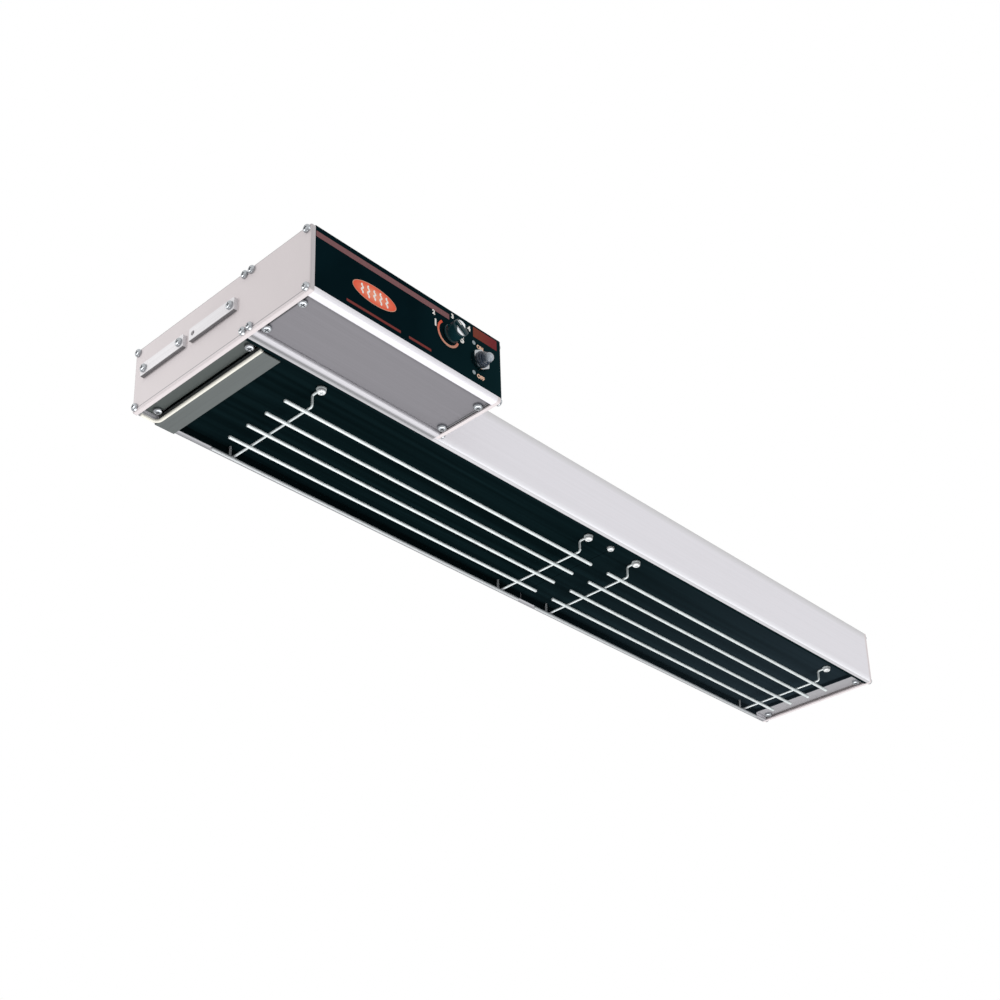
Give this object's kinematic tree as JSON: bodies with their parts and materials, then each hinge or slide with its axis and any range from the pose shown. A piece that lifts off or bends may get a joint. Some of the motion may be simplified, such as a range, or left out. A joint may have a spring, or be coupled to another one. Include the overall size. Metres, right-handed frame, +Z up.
{
  "type": "heat lamp warmer",
  "caption": "Overhead strip food warmer: an extruded trough with radiant emitters behind wire guards, and a control box with a heat knob and a toggle switch on its front.",
  "frame": {"origin": "centre of the trough's top face, midway between the four hanging nuts", "axes": "+X along the trough from the control box end to the plain end, +Y to the rear, +Z up; the controls face -Y and the heat goes down"},
  "size_m": [0.923, 0.2445, 0.0728],
  "materials": {
    "trough_aluminium": "satin mill-finished extrusion",
    "end_plate": "satin light grey with a warm cast",
    "bars": "satin grey bars",
    "screws": "plated steel screws and nuts",
    "chrome_parts": "bright nickel plate",
    "box_cover": "satin mid grey",
    "left_cover": "satin grey with a green cast",
    "right_cover": "satin light grey",
    "panel": "satin black panel with printed marks",
    "knob": "glossy black",
    "boot": "smoky clear silicone",
    "emitter": "semi-gloss black with a blue-green cast",
    "guard_wire": "bright plated wire",
    "element_sheath": "oxidised steel sheath",
    "inner_steel": "galvanised sheet",
    "blanket": "matte fibre blanket",
    "bakelite": "matte dark phenolic",
    "block": "matte off-white phenolic",
    "brass_parts": "plain brass",
    "ground": "green grounding screw",
    "lead_sleeve": "braided high-temperature sleeve",
    "control_lead_sleeve": "black insulated lead",
    "bushings": "matte black nylon"
  },
  "bodies": {
    "housing": {"boot_nut": "chrome_parts", "center_screw": "screws", "center_strap": "inner_steel", "control_box_cover": "box_cover", "control_box_end_plate": "end_plate", "control_box_housing": "trough_aluminium", "control_cover_screws": "screws", "control_leads": "control_lead_sleeve", "control_nut": "chrome_parts", "control_panel": "panel", "end_plate_screws": "screws", "ground_screw": "ground", "guard_screws": "screws", "hanger_nuts": "screws", "heat_control": "bakelite", "heat_shield": "inner_steel", "inlet_bushing": "bushings", "joining_screws": "screws", "lead_grommet": "bushings", "left_clamp_bars": "inner_steel", "left_element_leads": "lead_sleeve", "left_emitter": "emitter", "left_end_plate": "end_plate", "left_end_strap": "left_cover", "left_heating_element": "element_sheath", "left_insulation": "blanket", "left_mounting_bars": "bars", "left_terminal_cover": "left_cover", "left_wire_guard": "guard_wire", "main_housing": "trough_aluminium", "mounting_bar_screws": "screws", "right_clamp_bars": "inner_steel", "right_element_leads": "lead_sleeve", "right_emitter": "emitter", "right_end_plate": "end_plate", "right_heating_element": "element_sheath", "right_insulation": "blanket", "right_terminal_cover": "right_cover", "right_wire_guard": "guard_wire", "terminal_block": "block", "terminal_cover_screws": "screws", "terminal_screws": "brass_parts", "toggle_switch": "bakelite"},
    "knob": {"control_knob": "knob", "control_shaft": "chrome_parts"},
    "switch_lever": {"toggle_lever": "chrome_parts", "switch_boot": "boot"}
  },
  "joints": [
    {"name": "knob_turn", "type": "hinge", "parent": "housing", "child": "knob", "pos_m": [-0.3062, -0.1524, -0.0255], "axis": [0, 1, 0], "continuous": true},
    {"name": "switch_throw", "type": "hinge", "parent": "housing", "child": "switch_lever", "pos_m": [-0.2722, -0.15452, -0.0345], "axis": [-1, 0, 0], "range_deg": [0, 25]}
  ]
}
